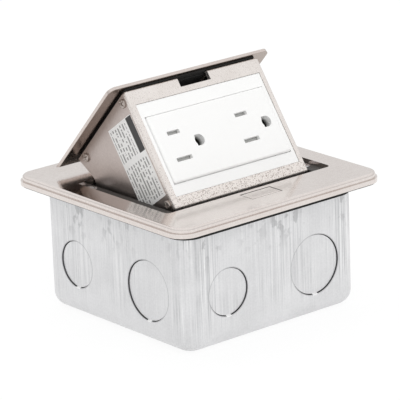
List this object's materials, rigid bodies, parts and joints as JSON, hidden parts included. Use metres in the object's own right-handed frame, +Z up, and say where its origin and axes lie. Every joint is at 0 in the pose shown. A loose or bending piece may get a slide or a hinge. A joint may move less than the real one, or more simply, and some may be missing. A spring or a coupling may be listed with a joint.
{
  "type": "pop-up floor socket box",
  "caption": "Square metal floor box whose spring-hinged lid lifts a sloping face of two earthed power outlets; a push button in the rim frees it.",
  "frame": {"origin": "centre of the underside of the steel box, on its bottom plane", "axes": "+X runs along the socket face and the hinge shaft, -Y is the side the sockets look out to, +Y the hinge side, +Z up; rest pose has the sockets raised"},
  "size_m": [0.12, 0.12, 0.1114],
  "materials": {
    "galvanised_steel": "galvanised sheet, satin",
    "rubber": "black sponge rubber",
    "nickel_plate": "bright warm nickel plate",
    "cast_metal": "as-cast, dark grey",
    "side_steel": "warm grey satin plate",
    "zinc_screws": "zinc plated",
    "spring_steel": "drawn spring wire",
    "black_plastic": "moulded black",
    "white_plastic": "smooth moulded white",
    "body_plastic": "moulded light grey",
    "brass": "bright brass",
    "terminal_nickel": "nickel plated",
    "ground_green": "green passivated",
    "label": "matt silver film"
  },
  "bodies": {
    "fixed": {"junction_box": "galvanised_steel", "ground_screw": "ground_green", "gasket": "rubber", "flange_plate": "nickel_plate", "mounting_frame": "cast_metal", "frame_screws": "zinc_screws", "flange_screws": "zinc_screws", "hinge_shaft": "zinc_screws", "shaft_clip": "zinc_screws", "torsion_spring_left": "spring_steel", "torsion_spring_right": "spring_steel", "latch_housing": "black_plastic", "latch_housing_screws": "zinc_screws", "button_spring": "spring_steel"},
    "popup": {"lid_plate": "nickel_plate", "lid_seal": "rubber", "top_bracket": "side_steel", "lid_nuts": "zinc_screws", "side_plate_left": "side_steel", "side_screws_left": "zinc_screws", "side_plate_right": "side_steel", "side_screws_right": "zinc_screws", "rear_cover": "side_steel", "face_bezel": "nickel_plate", "wall_plate": "white_plastic", "receptacle_face": "white_plastic", "mounting_strap": "zinc_screws", "strap_screws": "zinc_screws", "ground_terminal_screw": "ground_green", "ground_contacts": "brass", "receptacle_body": "body_plastic", "hot_terminal_screws": "brass", "neutral_terminal_screws": "terminal_nickel", "hot_contact": "brass", "neutral_contact": "brass", "shutter_spring_left": "spring_steel", "shutter_spring_right": "spring_steel", "side_label": "label"},
    "latch_button": {"latch_button": "nickel_plate"},
    "latch_bolt": {"latch_bolt": "zinc_screws"},
    "shutter_left": {"shutter_left": "body_plastic"},
    "shutter_right": {"shutter_right": "body_plastic"}
  },
  "joints": [
    {"name": "popup_hinge", "type": "hinge", "parent": "fixed", "child": "popup", "pos_m": [0, 0.0391, 0.043], "axis": [1, 0, 0], "range_deg": [0, 47.3], "stiffness_Nm_per_rad": 0.22, "springref_deg": -63.03, "deforming": ["torsion_spring_left", "torsion_spring_right"]},
    {"name": "button_press", "type": "slide", "parent": "fixed", "child": "latch_button", "axis": [0, 0, -1], "range_m": [0, 0.002], "stiffness_N_per_m": 600, "springref_m": -0.0025, "deforming": ["button_spring"]},
    {"name": "bolt_slide", "type": "slide", "parent": "fixed", "child": "latch_bolt", "axis": [0, -1, 0], "range_m": [0, 0.002]},
    {"name": "shutter_left_slide", "type": "slide", "parent": "popup", "child": "shutter_left", "axis": [0, -0.5779, -0.8161], "range_m": [0, 0.0028], "stiffness_N_per_m": 120, "springref_m": -0.0025, "deforming": ["shutter_spring_left"]},
    {"name": "shutter_right_slide", "type": "slide", "parent": "popup", "child": "shutter_right", "axis": [0, -0.5779, -0.8161], "range_m": [0, 0.0028], "stiffness_N_per_m": 120, "springref_m": -0.0025, "deforming": ["shutter_spring_right"]}
  ],
  "couplings": [
    {"joint": "bolt_slide", "follows": "button_press", "ratio": 1}
  ]
}
